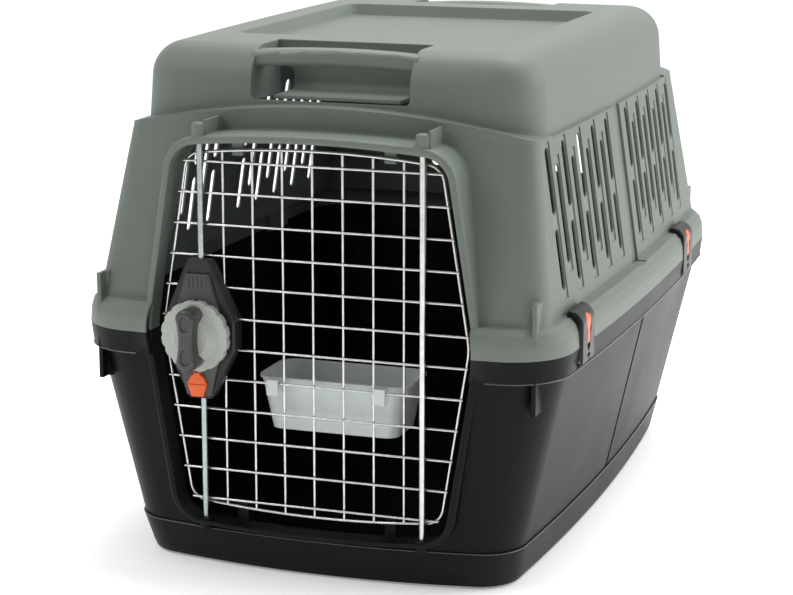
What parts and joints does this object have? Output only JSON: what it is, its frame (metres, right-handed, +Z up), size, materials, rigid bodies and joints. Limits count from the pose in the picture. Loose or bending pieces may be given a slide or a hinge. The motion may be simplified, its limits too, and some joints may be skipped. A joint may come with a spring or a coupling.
{
  "type": "pet transport box",
  "caption": "Two-part plastic pet carrier with a wire door, a turning two-bolt lock, a hanging bowl, swinging side clips and moulded carrying handles.",
  "frame": {"origin": "middle of the flat base, on the floor", "axes": "+X to the right seen from the door, +Y from the door to the back, +Z up"},
  "size_m": [0.5, 0.722, 0.498],
  "materials": {
    "upper_plastic": "fine grained",
    "lower_plastic": "fine grained",
    "wire": "bright zinc plate",
    "rod": "blue zinc plate",
    "lock_black": "satin",
    "lock_grey": "satin",
    "dial_pale": "satin",
    "orange": "satin",
    "bowl_white": "satin",
    "clip_grey": "satin",
    "steel": "plain"
  },
  "bodies": {
    "lower": {"lower_shell": "lower_plastic", "clip_pins": "steel"},
    "upper": {"upper_shell": "upper_plastic"},
    "door": {"door_frame": "wire", "door_verticals": "wire", "door_horizontals": "wire", "hinge_rod": "wire", "lock_housing": "lock_black", "lock_back_plate": "lock_black", "lock_cover": "lock_grey", "lock_screws": "steel", "safety_spring": "steel"},
    "upper_bolt": {"upper_bolt": "rod"},
    "lower_bolt": {"lower_bolt": "rod"},
    "dial": {"dial_wheel": "dial_pale", "dial_grip": "lock_grey", "dial_pinion": "lock_black", "dial_axle": "steel"},
    "button": {"safety_button": "orange"},
    "bowl": {"bowl": "bowl_white"},
    "clip_front_right": {"clip_front_right": "clip_grey"},
    "catch_front_right": {"catch_front_right": "orange"},
    "clip_front_left": {"clip_front_left": "clip_grey"},
    "catch_front_left": {"catch_front_left": "orange"},
    "clip_rear_right": {"clip_rear_right": "clip_grey"},
    "catch_rear_right": {"catch_rear_right": "orange"},
    "clip_rear_left": {"clip_rear_left": "clip_grey"},
    "catch_rear_left": {"catch_rear_left": "orange"}
  },
  "joints": [
    {"name": "upper_lift", "type": "slide", "parent": "lower", "child": "upper", "axis": [0, 0, 1], "range_m": [0, 0.3]},
    {"name": "door_swing", "type": "hinge", "parent": "lower", "child": "door", "pos_m": [0.1095, -0.3287, 0.235], "axis": [0, 0, 1], "range_deg": [0, 105]},
    {"name": "dial_turn", "type": "hinge", "parent": "door", "child": "dial", "pos_m": [-0.1095, -0.32925, 0.233], "axis": [0, -1, 0], "range_deg": [0, 90]},
    {"name": "upper_bolt_slide", "type": "slide", "parent": "door", "child": "upper_bolt", "axis": [0, 0, -1], "range_m": [0, 0.01424]},
    {"name": "lower_bolt_slide", "type": "slide", "parent": "door", "child": "lower_bolt", "axis": [0, 0, 1], "range_m": [0, 0.01424]},
    {"name": "button_slide", "type": "slide", "parent": "door", "child": "button", "axis": [0, 0, -1], "range_m": [0, 0.004], "stiffness_N_per_m": 150, "springref_m": -0.004, "deforming": ["safety_spring"]},
    {"name": "bowl_lift", "type": "slide", "parent": "door", "child": "bowl", "axis": [0, 0, 1], "range_m": [0, 0.015]},
    {"name": "clip_front_right_swing", "type": "hinge", "parent": "lower", "child": "clip_front_right", "pos_m": [0.24149, -0.247, 0.2175], "axis": [0, 1, 0], "range_deg": [0, 110]},
    {"name": "catch_front_right_slide", "type": "slide", "parent": "clip_front_right", "child": "catch_front_right", "axis": [0, 0, -1], "range_m": [0, 0.006]},
    {"name": "clip_front_left_swing", "type": "hinge", "parent": "lower", "child": "clip_front_left", "pos_m": [-0.24149, -0.247, 0.2175], "axis": [0, -1, 0], "range_deg": [0, 110]},
    {"name": "catch_front_left_slide", "type": "slide", "parent": "clip_front_left", "child": "catch_front_left", "axis": [0, 0, -1], "range_m": [0, 0.006]},
    {"name": "clip_rear_right_swing", "type": "hinge", "parent": "lower", "child": "clip_rear_right", "pos_m": [0.24443, 0.18, 0.2175], "axis": [0, 1, 0], "range_deg": [0, 110]},
    {"name": "catch_rear_right_slide", "type": "slide", "parent": "clip_rear_right", "child": "catch_rear_right", "axis": [0, 0, -1], "range_m": [0, 0.006]},
    {"name": "clip_rear_left_swing", "type": "hinge", "parent": "lower", "child": "clip_rear_left", "pos_m": [-0.24443, 0.18, 0.2175], "axis": [0, -1, 0], "range_deg": [0, 110]},
    {"name": "catch_rear_left_slide", "type": "slide", "parent": "clip_rear_left", "child": "catch_rear_left", "axis": [0, 0, -1], "range_m": [0, 0.006]}
  ],
  "couplings": [
    {"joint": "upper_bolt_slide", "follows": "dial_turn", "m_per_rad": 0.009},
    {"joint": "lower_bolt_slide", "follows": "dial_turn", "m_per_rad": 0.009}
  ]
}
